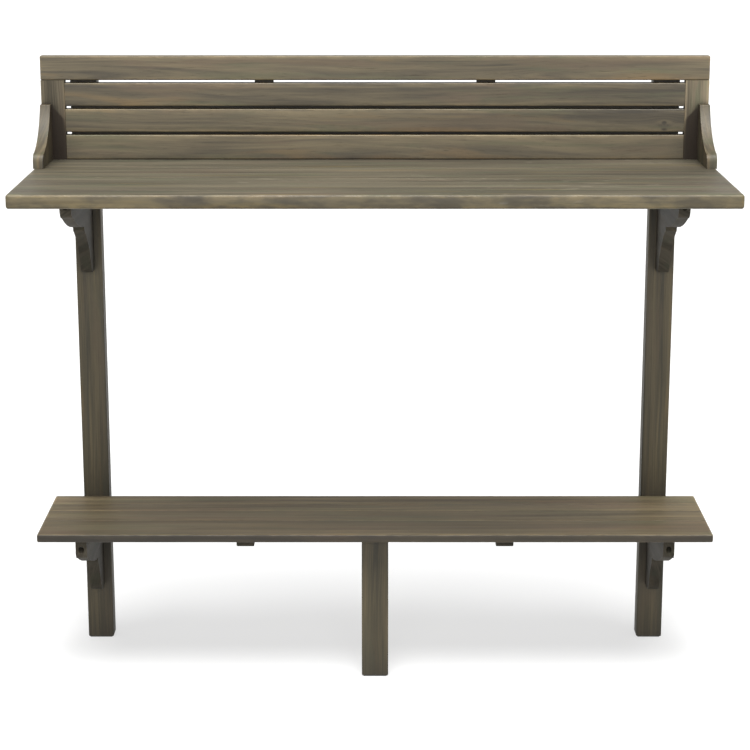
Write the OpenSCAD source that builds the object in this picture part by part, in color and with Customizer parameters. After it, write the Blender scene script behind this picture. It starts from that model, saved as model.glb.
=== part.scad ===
// Slatted balcony bar or potting bench: a deep counter on two tall rear posts with a slatted
// back panel above it, and a low shelf on the same posts with one short leg at the front.
// X runs along the bench, the front faces -Y, and Z = 0 is the floor under the feet.

/* [Overall] */
// Length of the tabletop and of the back panel
bench_w = 1200; // [1100:10:1400]
// Depth from the front edge of the tabletop to the back of the posts
bench_d = 464; // [450:2:520]
// Height of the working surface
table_h = 926; // [860:1:1000]
// Height of the back panel above the working surface
panel_h = 186; // [180:1:200]

/* [Tabletop] */
// Thickness of the tabletop
top_t = 24; // [22:1:30]
// Width of the narrow board along the front edge
top_front_w = 50; // [40:1:70]
// Width of the board behind it
top_second_w = 137; // [120:1:150]
// Rounding of the tabletop's long edges
top_edge_r = 5; // [2:0.5:8]

/* [Back panel] */
// Thickness of every board in the back panel
panel_t = 20; // [18:1:24]
// Height of the full-length top rail
panel_rail_h = 43.5; // [38:0.5:50]
// Width of the two end stiles
stile_w = 43; // [38:1:48]
// Height of the upper and middle slats
slat_h = 42; // [36:1:44]
// Height of the open slots between the slats
slot_h = 4.6; // [4:0.2:8]
// Height of the side brackets above the tabletop
bracket_h = 100; // [80:1:120]
// Reach of the side brackets in front of the panel
bracket_reach = 118; // [100:1:130]
// Thickness of the side brackets
bracket_t = 18; // [16:1:22]

/* [Posts] */
// Width of the posts and of the front leg
post_w = 48; // [44:1:60]
// Depth of the posts and of the front leg
post_d = 34; // [32:1:40]
// Distance from the end of the tabletop to the outer side of a post
post_inset = 50; // [44:1:80]
// Gap between the top of the posts and the top of the back panel
post_drop = 10; // [4:1:14]

/* [Shelf] */
// Length of the shelf
shelf_w = 1206; // [1120:2:1400]
// Height of the shelf's surface
shelf_h = 285; // [260:1:340]
// Thickness of the shelf
shelf_t = 15; // [14:1:20]
// Widths of the shelf boards, from the front one to the rear one
shelf_board_w = [84, 58, 42, 54];
// Distance from the front edge of the shelf to the front leg
front_leg_setback = 38; // [30:1:60]

/* [Corbels] */
// Thickness of the corbels
corbel_t = 20; // [18:1:24]
// Reach of the corbels under the tabletop
table_corbel_reach = 275; // [240:1:300]
// Height of the corbels under the tabletop
table_corbel_h = 182; // [170:1:200]
// Reach of the corbels under the shelf
shelf_corbel_reach = 227; // [215:1:232]
// Height of the corbels under the shelf
shelf_corbel_h = 160; // [150:1:175]

/* [Rails and cleats] */
// Height of the cross rails
rail_h = 60; // [50:1:70]
// Height of the rail behind the back panel
back_rail_h = 92; // [88:1:96]
// Thickness of the cross rails
rail_t = 20; // [18:1:24]
// Width of the cleats under the boards
cleat_w = 32; // [28:1:40]
// Height of the cleats under the tabletop
top_cleat_h = 20; // [16:1:26]
// Height of the cleats under the shelf
shelf_cleat_h = 16; // [14:1:20]
// Distance of the outer cleats from the middle of the bench
cleat_x = 233; // [200:1:280]

/* [Fasteners] */
// Diameter of the connector bolts
bolt_d = 6; // [6:1:8]
// Diameter of the wood screws
screw_d = 4.4; // [4:0.2:5]
// Diameter of the dowels
dowel_d = 8; // [6:1:8]

/* [Hidden] */

// Colours of the stained timber and of the fittings
table_wood = "#7e7663";
panel_wood = "#716957";
frame_wood = "#504b3f";
hidden_wood = "#5b5344";
dowel_wood = "#b9996a";
steel = "#8d8b84";

// Planes that the pieces meet on
back_y = bench_d / 2;
front_y = -bench_d / 2;
post_y = back_y - post_d;
panel_y = post_y - panel_t;
post_x = bench_w / 2 - post_inset - post_w / 2;
post_gap = 2 * post_x - post_w;
top_under = table_h - top_t;
panel_top = table_h + panel_h;
shelf_under = shelf_h - shelf_t;
slat_x = bench_w / 2 - stile_w;

// Boards of the tabletop, from the front one to the rear one
top_rest_w = (post_y - front_y - top_front_w - top_second_w) / 2;
top_board_w = [top_front_w, top_second_w, top_rest_w, top_rest_w];
function sum_to(widths, n) = n == 0 ? 0 : widths[n - 1] + sum_to(widths, n - 1);
shelf_front_y = post_y - sum_to(shelf_board_w, len(shelf_board_w));
function top_seam_y(n) = front_y + sum_to(top_board_w, n);
function shelf_seam_y(n) = shelf_front_y + sum_to(shelf_board_w, n);

// Slats of the back panel: lower edge and height of each, from the top one down
slat_upper_z = panel_top - panel_rail_h - slot_h - slat_h;
slat_middle_z = slat_upper_z - slot_h - slat_h;
slat_lower_h = slat_middle_z - slot_h - table_h;
slat_centres = [
    panel_top - panel_rail_h / 2,
    slat_upper_z + slat_h / 2,
    slat_middle_z + slat_h / 2,
    table_h + slat_lower_h / 2
];
back_rail_z = table_h + 10;
apron_z = table_h - 4 - rail_h;
stretcher_z = shelf_h - 7 - rail_h;
batten_x = 200;
batten_w = 34;
batten_t = 12;
batten_z = back_rail_z + back_rail_h + 3;
batten_top = panel_top - 8;

// Small edges
soft_r = 2;
seam_r = 0.8;
shelf_edge_r = 3;
foot_chamfer = 4;
arris_steps = 4;

// Front leg and the block that holds it
front_leg_y = shelf_front_y + front_leg_setback;
leg_block_y = front_leg_y + post_d;
leg_block_d = 40;
leg_block_h = 32;
leg_block_screw_y = [22, 34];
shelf_cleat_setback = 29;
top_cleat_setback = 145;
top_cleat_screw_y = front_y + 168;

// Outline of a corbel: [reach, height, nose height, nose radius, ledge reach, ledge depth,
// toe reach, toe radius]
table_corbel = [table_corbel_reach, table_corbel_h, 44, 22, 122, 80, 42, 16];
shelf_corbel = [shelf_corbel_reach, shelf_corbel_h, 37, 16, 86, 78, 54, 26];
ledge_step = 13;
ledge_drop = 9;
belly_r = 420;
cove_r = 190;
curve_steps = 12;

// Outline of a side bracket
bracket_top_d = 17;
bracket_nose_h = 26;
bracket_nose_r = 14;
bracket_sweep_r = 128;
bracket_top_r = 3;

// Fastener sizes
fit = 0.05;
bolt_len = 70;
bolt_recess_d = 17;
bolt_recess = 8;
washer_d = 15;
washer_t = 1.5;
bolt_head_d = 10.5;
bolt_head_h = 4.5;
socket_d = 4.6;
socket_deep = 2.5;
nut_d = 10;
nut_len = 17;
nut_setback = 34;
table_bolt_z = [top_under - 48, top_under - 135];
shelf_bolt_z = [shelf_under - 38, shelf_under - 112];
table_nose_screw_len = 40;
shelf_nose_screw_len = 34;
nose_screw_tilt = 45;
nose_recess = 6;
screw_head_d = 8.6;
screw_head_h = 3;
screw_point_d = 0.6;
cross_len = 4.6;
cross_w = 1.1;
cross_deep = 1.6;
tip_gap = 0.5;
bracket_screw_setback = [28, 78];
rail_screw_x = [-260, 0, 260];
post_recess_d = 10;
post_recess = 14;
insert_d = 10;
insert_len = 15;
leg_bolt_len = 56;
leg_bolt_x = 13;
leg_bolt_z = shelf_under - 16;
dowel_len = 36;
dowel_x = [-450, -150, 150, 450];
frame_dowel_dz = [-16, 16];
thin_dowel_d = 6;
thin_dowel_len = 30;
round_fn = 32;

// Points of an arc about centre c, from angle a to angle b
function arc(c, r, a, b, n) = [
    for (i = [0:n]) let (t = a + (b - a) * i / n) c + r * [cos(t), sin(t)]
];

// Points of an arc from p to q: a positive r bows to the left of the way from p to q
function bend(p, q, r, n) = let (
    v = q - p,
    half = norm(v) / 2,
    s = sign(r),
    c = (p + q) / 2 + s * sqrt(r * r - half * half) * [v.y, -v.x] / norm(v),
    a = atan2(p.y - c.y, p.x - c.x)
) arc(c, abs(r), a, a - s * 2 * asin(half / abs(r)), n);

// Outline of a rectangle from the origin with its four corners rounded
function soft_rect(w, h, r) = concat(
    arc([r, r], r, 180, 270, arris_steps),
    arc([w - r, r], r, 270, 360, arris_steps),
    arc([w - r, h - r], r, 0, 90, arris_steps),
    arc([r, h - r], r, 90, 180, arris_steps)
);

// Outline of a board whose front edge has radius rf and whose rear edge has radius rr
function board_outline(d, t, rf, rr) = concat(
    arc([rf, rf], rf, 180, 270, arris_steps),
    arc([d - rr, rr], rr, 270, 360, arris_steps),
    arc([d - rr, t - rr], rr, 0, 90, arris_steps),
    arc([rf, t - rf], rf, 90, 180, arris_steps)
);

// Outline of a corbel: reach along X, and down from the surface that it carries along -Y
function corbel_outline(c) = let (
    reach = c[0], h = c[1], nose_h = c[2], nose_r = c[3],
    ledge = [c[4], -c[5]], toe = [c[6], -h + c[7]], toe_r = c[7]
) concat(
    [[0, 0], [reach, 0]],
    arc([reach - nose_r, -nose_h + nose_r], nose_r, 0, -90, curve_steps),
    bend([reach - nose_r - 1, -nose_h], ledge + [ledge_step, 0], belly_r, curve_steps),
    [ledge + [0, -1]],
    bend(ledge + [-2, -ledge_drop], toe, -cove_r, curve_steps),
    arc([toe.x - toe_r, toe.y], toe_r, -10, -90, curve_steps),
    [[0, -h]]
);

// Outline of a side bracket: reach along X and height along Y
bracket_outline = concat(
    [[0, 0], [bracket_reach, 0]],
    arc([bracket_reach - bracket_nose_r, bracket_nose_h - bracket_nose_r],
        bracket_nose_r, 0, 90, curve_steps),
    bend([bracket_reach - bracket_nose_r - 1, bracket_nose_h],
        [bracket_top_d, bracket_h - bracket_top_r], bracket_sweep_r, 2 * curve_steps),
    arc([bracket_top_d - bracket_top_r, bracket_h - bracket_top_r],
        bracket_top_r, 10, 90, arris_steps),
    [[0, bracket_h]]
);

// A bar along X, centred on X, whose outline lies in Y and Z
module bar_x(length, outline)
    rotate([90, 0, 90])
        linear_extrude(length, center = true)
            polygon(outline);

// A bar along Y from y = 0, centred on X
module bar_y(w, length, h)
    translate([-w / 2, length, 0])
        rotate([90, 0, 0])
            linear_extrude(length)
                polygon(soft_rect(w, h, soft_r));

// A plate whose outline reaches towards -Y from the plane y = 0, centred on X
module side_plate(t, outline)
    rotate([90, 0, -90])
        linear_extrude(t, center = true)
            polygon(outline);

// A post standing at z = 0, centred on X and reaching from y = 0 to its depth
module post(h) {
    c = foot_chamfer;
    intersection() {
        translate([-post_w / 2, 0, 0])
            linear_extrude(h)
                polygon(soft_rect(post_w, post_d, soft_r));
        translate([-post_w / 2, post_d, 0])
            rotate([90, 0, 0])
                linear_extrude(post_d)
                    polygon([[c, 0], [post_w - c, 0], [post_w, c], [post_w, h], [0, h], [0, c]]);
        rotate([90, 0, 90])
            linear_extrude(post_w, center = true)
                polygon([[c, 0], [post_d - c, 0], [post_d, c], [post_d, h], [0, h], [0, c]]);
    }
}

// A round bar along a direction, starting at the origin
module rod(d, length)
    cylinder(d = d, h = length, $fn = round_fn);

// Turns +Z to +Y, to -Y and to +X
module to_back() rotate([-90, 0, 0]) children();
module to_front() rotate([90, 0, 0]) children();
module to_right() rotate([0, 90, 0]) children();

// A countersunk wood screw with its head at the origin, a cross recess in it, and its point along +Z
module screw(length) {
    difference() {
        union() {
            cylinder(d1 = screw_head_d, d2 = screw_d, h = screw_head_h, $fn = round_fn);
            rod(screw_d, length - screw_d);
            translate([0, 0, length - screw_d])
                cylinder(d1 = screw_d, d2 = screw_point_d, h = screw_d, $fn = round_fn);
        }
        translate([0, 0, -1])
            rotate([0, 0, 45])
                linear_extrude(cross_deep + 1)
                    for (a = [0, 90]) rotate(a) square([cross_len, cross_w], center = true);
    }
}

// The hole for that screw, with a flared mouth
module screw_hole(length) {
    translate([0, 0, -0.01])
        cylinder(d1 = screw_head_d + 0.4, d2 = screw_d, h = screw_head_h + 0.2, $fn = round_fn);
    rod(screw_d + 2 * fit, length + tip_gap);
}

// A connector bolt with its head below the origin and its shank along +Z
module bolt(length)
    difference() {
        union() {
            rod(bolt_d, length);
            translate([0, 0, -bolt_head_h]) rod(bolt_head_d, bolt_head_h);
        }
        translate([0, 0, -bolt_head_h - 1])
            cylinder(d = socket_d, h = socket_deep + 1, $fn = 6);
    }

// A washer whose lower face is at the origin
module washer()
    difference() {
        rod(washer_d, washer_t);
        translate([0, 0, -1]) rod(bolt_d + 0.4, washer_t + 2);
    }

// Places of the fasteners

// Connector bolts of one side, from the floor of the recess in the post towards the front
module at_corbel_bolts(side)
    for (z = concat(table_bolt_z, shelf_bolt_z))
        translate([side * post_x, back_y - bolt_recess, z])
            to_front()
                children();

// Barrel nuts of one side, from the outer face of the corbel inwards
module at_barrel_nuts(side)
    for (z = concat(table_bolt_z, shelf_bolt_z))
        translate([side * (post_x + corbel_t / 2), post_y - nut_setback, z])
            rotate([0, -side * 90, 0])
                children();

// Tilted screws through the noses of the corbels
module at_nose_screws()
    for (side = [-1, 1])
        for (c = [[table_corbel, top_under], [shelf_corbel, shelf_under]])
            translate([side * post_x, post_y - c[0][0], c[1] - c[0][2] / 2 + 1])
                rotate([nose_screw_tilt - 90, 0, 0])
                    children();

// Screws from the back of one post into the rail and slats of the panel
module at_panel_screws(side)
    for (z = slat_centres)
        translate([side * post_x, back_y - post_recess, z])
            to_front()
                children();

// Screws through the battens into the top rail and the upper slat
module at_batten_screws()
    for (side = [-1, 1], n = [0, 1])
        translate([side * batten_x, post_y + batten_t, slat_centres[n]])
            to_front()
                children();

// Screws through the back rail into the middle and lower slats
module at_back_rail_screws()
    for (x = rail_screw_x, n = [2, 3])
        translate([x, post_y + rail_t, slat_centres[n]])
            to_front()
                children();

// Screws through the apron into the rear edge of the tabletop
module at_apron_screws()
    for (x = rail_screw_x)
        translate([x, post_y + rail_t, table_h - top_t / 2])
            to_front()
                children();

// Screws through the stretcher into the ends of the shelf cleats
module at_stretcher_screws()
    for (side = [-1, 1])
        translate([side * cleat_x, post_y + rail_t, shelf_under - shelf_cleat_h / 2])
            to_front()
                children();

// Screws up through the tabletop into the side brackets
module at_bracket_screws()
    for (side = [-1, 1], y = bracket_screw_setback)
        translate([side * (bench_w - bracket_t) / 2, panel_y - y, top_under])
            children();

// Screws up through the cleats into the tabletop
module at_top_cleat_screws(x)
    for (y = [top_cleat_screw_y, top_seam_y(2) + top_rest_w / 2, top_seam_y(3) + top_rest_w / 2])
        translate([x, y, top_under - top_cleat_h])
            children();

// Screws up through the cleats into the shelf
module at_shelf_cleat_screws(x)
    for (n = [0:3])
        translate([x, (shelf_seam_y(n) + shelf_seam_y(n + 1)) / 2, shelf_under - shelf_cleat_h])
            children();

// Screws up through the block of the front leg into the shelf
module at_leg_block_screws()
    for (y = leg_block_screw_y)
        translate([0, leg_block_y + y, shelf_under - leg_block_h])
            children();

// Bolts through the block of the front leg, from the back of the block towards the front
module at_leg_bolts()
    for (side = [-1, 1])
        translate([side * leg_bolt_x, leg_block_y + leg_block_d, leg_bolt_z])
            to_front()
                children();

// Dowels across the seams of the tabletop and of the shelf
module at_top_dowels()
    for (x = dowel_x, n = [1:3])
        translate([x, top_seam_y(n), table_h - top_t / 2])
            to_back()
                children();
module at_shelf_dowels()
    for (x = dowel_x, n = [1:3])
        translate([x, shelf_seam_y(n), shelf_h - shelf_t / 2])
            to_back()
                children();

// Dowels between the stiles and the slats and between the stiles and the top rail
module at_panel_dowels()
    for (side = [-1, 1]) {
        for (n = [1:3])
            translate([side * slat_x, panel_y + panel_t / 2, slat_centres[n]])
                to_right()
                    children();
        translate([side * (slat_x + stile_w / 2), panel_y + panel_t / 2, panel_top - panel_rail_h])
            children();
    }

// Dowels between the posts and the three cross rails
module at_frame_dowels()
    for (side = [-1, 1], z = [back_rail_z + back_rail_h / 2, apron_z + rail_h / 2,
            stretcher_z + rail_h / 2], dz = frame_dowel_dz)
        translate([side * post_gap / 2, post_y + rail_t / 2, z + dz])
            to_right()
                children();

// A dowel centred on the origin, and its hole
module dowel(d, length) translate([0, 0, -length / 2]) rod(d, length);
module dowel_hole(d, length) dowel(d + 2 * fit, length + 2);

// Screw lengths: the thickness passed through and the grip beyond it
panel_screw_len = post_d - post_recess + 13;
batten_screw_len = batten_t + 14;
back_rail_screw_len = rail_t + 14;
apron_screw_len = rail_t + 22;
stretcher_screw_len = rail_t + 18;
bracket_screw_len = top_t + 20;
top_cleat_screw_len = top_cleat_h + 14;
shelf_cleat_screw_len = shelf_cleat_h + 10;
leg_block_screw_len = leg_block_h + 10;

// Wooden pieces

module top_board(n) {
    first = n == 0 ? top_edge_r : seam_r;
    last = n == 3 ? soft_r : seam_r;
    color(table_wood)
        difference() {
            translate([0, top_seam_y(n), top_under])
                bar_x(bench_w, board_outline(top_board_w[n], top_t, first, last));
            at_top_dowels() dowel_hole(dowel_d, dowel_len);
            for (x = [-cleat_x, 0, cleat_x])
                at_top_cleat_screws(x) rod(screw_d + 2 * fit, top_cleat_screw_len + tip_gap);
            at_nose_screws() rod(screw_d + 2 * fit, table_nose_screw_len + tip_gap);
            at_bracket_screws() screw_hole(bracket_screw_len);
            at_apron_screws() rod(screw_d + 2 * fit, apron_screw_len + tip_gap);
        }
}

module top_cleat(x)
    color(hidden_wood)
        difference() {
            translate([x, front_y + top_cleat_setback, top_under - top_cleat_h])
                bar_y(cleat_w, post_y - front_y - top_cleat_setback, top_cleat_h);
            at_top_cleat_screws(x) screw_hole(top_cleat_h);
        }

module panel_top_rail()
    color(panel_wood)
        difference() {
            translate([0, panel_y, panel_top - panel_rail_h])
                bar_x(bench_w, soft_rect(panel_t, panel_rail_h, soft_r));
            for (side = [-1, 1]) at_panel_screws(side) rod(screw_d + 2 * fit, panel_screw_len + tip_gap);
            at_batten_screws() rod(screw_d + 2 * fit, batten_screw_len + tip_gap);
            at_panel_dowels() dowel_hole(thin_dowel_d, thin_dowel_len);
        }

module panel_stile(side)
    color(panel_wood)
        difference() {
            translate([side * (slat_x + stile_w / 2) - stile_w / 2, panel_y, table_h])
                linear_extrude(panel_h - panel_rail_h)
                    polygon(soft_rect(stile_w, panel_t, seam_r));
            at_panel_dowels() dowel_hole(thin_dowel_d, thin_dowel_len);
        }

module panel_slat(z, h)
    color(panel_wood)
        difference() {
            translate([0, panel_y, z])
                bar_x(2 * slat_x, soft_rect(panel_t, h, soft_r));
            for (side = [-1, 1]) at_panel_screws(side) rod(screw_d + 2 * fit, panel_screw_len + tip_gap);
            at_batten_screws() rod(screw_d + 2 * fit, batten_screw_len + tip_gap);
            at_back_rail_screws() rod(screw_d + 2 * fit, back_rail_screw_len + tip_gap);
            at_panel_dowels() dowel_hole(thin_dowel_d, thin_dowel_len);
        }

module panel_batten(side)
    color(hidden_wood)
        difference() {
            translate([side * batten_x - batten_w / 2, post_y, batten_z])
                linear_extrude(batten_top - batten_z)
                    polygon(soft_rect(batten_w, batten_t, soft_r));
            at_batten_screws() screw_hole(batten_t);
        }

module back_rail()
    color(hidden_wood)
        difference() {
            translate([0, post_y, back_rail_z])
                bar_x(post_gap, soft_rect(rail_t, back_rail_h, soft_r));
            at_back_rail_screws() screw_hole(rail_t);
            at_frame_dowels() dowel_hole(dowel_d, dowel_len);
        }

module cross_rail(z)
    color(hidden_wood)
        difference() {
            translate([0, post_y, z])
                bar_x(post_gap, soft_rect(rail_t, rail_h, soft_r));
            at_apron_screws() screw_hole(rail_t);
            at_stretcher_screws() screw_hole(rail_t);
            at_frame_dowels() dowel_hole(dowel_d, dowel_len);
        }

module side_bracket(side)
    color(table_wood)
        difference() {
            translate([side * (bench_w - bracket_t) / 2, panel_y, table_h])
                side_plate(bracket_t, bracket_outline);
            at_bracket_screws() rod(screw_d + 2 * fit, bracket_screw_len + tip_gap);
        }

module rear_post(side)
    color(frame_wood)
        difference() {
            translate([side * post_x, post_y, 0]) post(panel_top - post_drop);
            at_corbel_bolts(side) {
                rod(bolt_d + 0.6, post_d);
                translate([0, 0, -bolt_recess]) rod(bolt_recess_d, bolt_recess);
            }
            at_panel_screws(side) {
                screw_hole(post_d);
                translate([0, 0, -post_recess]) rod(post_recess_d, post_recess);
            }
            at_frame_dowels() dowel_hole(dowel_d, dowel_len);
        }

module corbel(side, outline, under)
    color(frame_wood)
        difference() {
            translate([side * post_x, post_y, under]) side_plate(corbel_t, corbel_outline(outline));
            at_corbel_bolts(side) rod(bolt_d + 0.6, bolt_len + 2);
            at_barrel_nuts(side) rod(nut_d + 2 * fit, nut_len);
            at_nose_screws() {
                translate([0, 0, -screw_head_d]) rod(post_recess_d, nose_recess + screw_head_d);
                translate([0, 0, nose_recess]) rod(screw_d + 2 * fit, table_nose_screw_len);
            }
        }

module shelf_board(n) {
    first = n == 0 ? shelf_edge_r : seam_r;
    last = n == 3 ? shelf_edge_r : seam_r;
    color(panel_wood)
        difference() {
            translate([0, shelf_seam_y(n), shelf_under])
                bar_x(shelf_w, board_outline(shelf_board_w[n], shelf_t, first, last));
            at_shelf_dowels() dowel_hole(thin_dowel_d, thin_dowel_len);
            for (side = [-1, 1])
                at_shelf_cleat_screws(side * cleat_x)
                    rod(screw_d + 2 * fit, shelf_cleat_screw_len + tip_gap);
            at_nose_screws() rod(screw_d + 2 * fit, shelf_nose_screw_len + tip_gap);
            at_leg_block_screws() rod(screw_d + 2 * fit, leg_block_screw_len + tip_gap);
        }
}

module shelf_cleat(side)
    color(hidden_wood)
        difference() {
            translate([side * cleat_x, shelf_front_y + shelf_cleat_setback, shelf_under - shelf_cleat_h])
                bar_y(cleat_w, post_y - shelf_front_y - shelf_cleat_setback, shelf_cleat_h);
            at_shelf_cleat_screws(side * cleat_x) screw_hole(shelf_cleat_h);
            at_stretcher_screws() rod(screw_d + 2 * fit, stretcher_screw_len + tip_gap);
        }

module front_leg()
    color(frame_wood)
        difference() {
            translate([0, front_leg_y, 0]) post(shelf_under);
            at_leg_bolts()
                translate([0, 0, leg_block_d]) rod(insert_d + 2 * fit, insert_len + 3);
        }

module front_leg_block()
    color(hidden_wood)
        difference() {
            translate([0, leg_block_y, shelf_under - leg_block_h])
                bar_y(post_w, leg_block_d, leg_block_h);
            at_leg_bolts() rod(bolt_d + 0.6, leg_block_d);
            at_leg_block_screws() screw_hole(leg_block_h);
        }

// Fasteners

module corbel_bolts()
    color(steel)
        for (side = [-1, 1])
            at_corbel_bolts(side) translate([0, 0, -washer_t]) bolt(bolt_len);

module corbel_bolt_washers()
    color(steel)
        for (side = [-1, 1])
            at_corbel_bolts(side) translate([0, 0, -washer_t]) washer();

module corbel_barrel_nuts()
    color(steel)
        for (side = [-1, 1])
            at_barrel_nuts(side)
                difference() {
                    rod(nut_d, nut_len);
                    translate([0, 0, corbel_t / 2])
                        rotate([90, 0, 0])
                            translate([0, 0, -nut_d])
                                rod(bolt_d + 2 * fit, 2 * nut_d);
                }

module corbel_nose_screws()
    color(steel)
        for (side = [-1, 1])
            for (c = [[table_corbel, top_under, table_nose_screw_len],
                    [shelf_corbel, shelf_under, shelf_nose_screw_len]])
                translate([side * post_x, post_y - c[0][0], c[1] - c[0][2] / 2 + 1])
                    rotate([nose_screw_tilt - 90, 0, 0])
                        translate([0, 0, nose_recess])
                            screw(c[2] - nose_recess);

module front_leg_bolts()
    color(steel) at_leg_bolts() translate([0, 0, -washer_t]) bolt(leg_bolt_len);

module front_leg_washers()
    color(steel) at_leg_bolts() translate([0, 0, -washer_t]) washer();

module front_leg_inserts()
    color(steel)
        at_leg_bolts()
            translate([0, 0, leg_block_d])
                difference() {
                    rod(insert_d, insert_len);
                    translate([0, 0, -1]) rod(bolt_d + 2 * fit, insert_len + 2);
                }

module panel_screws()
    color(steel)
        for (side = [-1, 1]) at_panel_screws(side) screw(panel_screw_len);

module batten_screws()
    color(steel) at_batten_screws() screw(batten_screw_len);

module rail_screws()
    color(steel) {
        at_back_rail_screws() screw(back_rail_screw_len);
        at_apron_screws() screw(apron_screw_len);
        at_stretcher_screws() screw(stretcher_screw_len);
    }

module bracket_screws()
    color(steel) at_bracket_screws() screw(bracket_screw_len);

module cleat_screws()
    color(steel) {
        for (x = [-cleat_x, 0, cleat_x]) at_top_cleat_screws(x) screw(top_cleat_screw_len);
        for (side = [-1, 1]) at_shelf_cleat_screws(side * cleat_x) screw(shelf_cleat_screw_len);
    }

module leg_block_screws()
    color(steel) at_leg_block_screws() screw(leg_block_screw_len);

module top_dowels() color(dowel_wood) at_top_dowels() dowel(dowel_d, dowel_len);
module shelf_dowels() color(dowel_wood) at_shelf_dowels() dowel(thin_dowel_d, thin_dowel_len);
module panel_dowels() color(dowel_wood) at_panel_dowels() dowel(thin_dowel_d, thin_dowel_len);
module frame_dowels() color(dowel_wood) at_frame_dowels() dowel(dowel_d, dowel_len);

top_board(0);  // top_board_front
top_board(1);  // top_board_second
top_board(2);  // top_board_third
top_board(3);  // top_board_rear
top_cleat(-cleat_x);  // top_cleat_left
top_cleat(0);  // top_cleat_centre
top_cleat(cleat_x);  // top_cleat_right
panel_top_rail();
panel_stile(-1);  // panel_stile_left
panel_stile(1);  // panel_stile_right
panel_slat(slat_upper_z, slat_h);  // panel_slat_upper
panel_slat(slat_middle_z, slat_h);  // panel_slat_middle
panel_slat(table_h, slat_lower_h);  // panel_slat_lower
panel_batten(-1);  // panel_batten_left
panel_batten(1);  // panel_batten_right
back_rail();
side_bracket(-1);  // side_bracket_left
side_bracket(1);  // side_bracket_right
rear_post(-1);  // rear_post_left
rear_post(1);  // rear_post_right
cross_rail(apron_z);  // table_apron
cross_rail(stretcher_z);  // shelf_stretcher
corbel(-1, table_corbel, top_under);  // table_corbel_left
corbel(1, table_corbel, top_under);  // table_corbel_right
corbel(-1, shelf_corbel, shelf_under);  // shelf_corbel_left
corbel(1, shelf_corbel, shelf_under);  // shelf_corbel_right
shelf_board(0);  // shelf_board_front
shelf_board(1);  // shelf_board_second
shelf_board(2);  // shelf_board_third
shelf_board(3);  // shelf_board_rear
shelf_cleat(-1);  // shelf_cleat_left
shelf_cleat(1);  // shelf_cleat_right
front_leg();
front_leg_block();
corbel_bolts();
corbel_bolt_washers();
corbel_barrel_nuts();
corbel_nose_screws();
front_leg_bolts();
front_leg_washers();
front_leg_inserts();
panel_screws();
batten_screws();
rail_screws();
bracket_screws();
cleat_screws();
leg_block_screws();
top_dowels();
shelf_dowels();
panel_dowels();
frame_dowels();
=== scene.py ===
"""Looks of the slatted balcony bar or potting bench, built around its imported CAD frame."""

import math

import bmesh
import bpy
import numpy as np
from mathutils import Matrix, Vector, noise


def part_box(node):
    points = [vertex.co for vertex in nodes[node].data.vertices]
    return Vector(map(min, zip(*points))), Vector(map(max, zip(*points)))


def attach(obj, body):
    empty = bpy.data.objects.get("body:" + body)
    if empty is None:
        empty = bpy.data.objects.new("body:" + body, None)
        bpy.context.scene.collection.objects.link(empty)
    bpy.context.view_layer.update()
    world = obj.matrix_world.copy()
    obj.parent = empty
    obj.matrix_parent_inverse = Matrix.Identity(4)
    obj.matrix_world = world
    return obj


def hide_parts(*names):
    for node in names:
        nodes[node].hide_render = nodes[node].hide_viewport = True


MM = 0.001
BODY = "root"


def mm(values):
    """Millimetres as metres."""
    return tuple(value * MM for value in values)


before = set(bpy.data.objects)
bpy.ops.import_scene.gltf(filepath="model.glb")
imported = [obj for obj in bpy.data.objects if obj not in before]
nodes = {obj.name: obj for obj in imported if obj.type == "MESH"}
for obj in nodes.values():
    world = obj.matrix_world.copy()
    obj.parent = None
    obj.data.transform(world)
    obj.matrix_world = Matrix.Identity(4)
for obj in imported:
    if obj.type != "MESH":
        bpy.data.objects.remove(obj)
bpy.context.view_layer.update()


# ---------------------------------------------------------------- camera, light and floor

CAMERA_PLACE = (0.0, -3.622, 1.460)
CAMERA_PITCH = 13.83
CAMERA_LENS = 101.3
PAPER_WHITE = (1.0, 1.0, 1.0)
PAPER_GREY = (0.30, 0.30, 0.298, 1.0)
FLOOR_HALF = 60.0
FLOOR_GLOW = 0.61
# The studio's glow along its foot and above, and the heights (Z of the direction) between which it changes
FOOT_GLOW, WALL_GLOW = 1.05, 0.35
FOOT_TOP, WALL_FOOT = 0.10, 0.30


def add_camera():
    """A camera in front of the middle of the bench, tilted down to it."""
    data = bpy.data.cameras.new("camera")
    data.sensor_width = 36.0
    data.lens = CAMERA_LENS
    data.clip_end = 200.0
    camera = bpy.data.objects.new("camera", data)
    camera.location = CAMERA_PLACE
    camera.rotation_euler = (math.radians(90.0 - CAMERA_PITCH), 0.0, 0.0)
    bpy.context.scene.collection.objects.link(camera)
    bpy.context.scene.camera = camera


def add_softbox(name, place, aim, size, power):
    """A rectangular area light at place, turned to aim."""
    data = bpy.data.lights.new(name, "AREA")
    data.shape = "RECTANGLE"
    data.size, data.size_y = size
    data.energy = power
    light = bpy.data.objects.new(name, data)
    light.location = place
    light.rotation_euler = (Vector(aim) - Vector(place)).to_track_quat("-Z", "Y").to_euler()
    bpy.context.scene.collection.objects.link(light)


def add_overhead_light(name, elevation, turn, spread, strength):
    """A broad, even light from above the front of the bench, turned to one side. Angles are in degrees."""
    data = bpy.data.lights.new(name, "SUN")
    data.angle = math.radians(spread)
    data.energy = strength
    light = bpy.data.objects.new(name, data)
    light.rotation_euler = (math.radians(90.0 - elevation), 0.0, math.radians(turn))
    bpy.context.scene.collection.objects.link(light)


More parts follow.
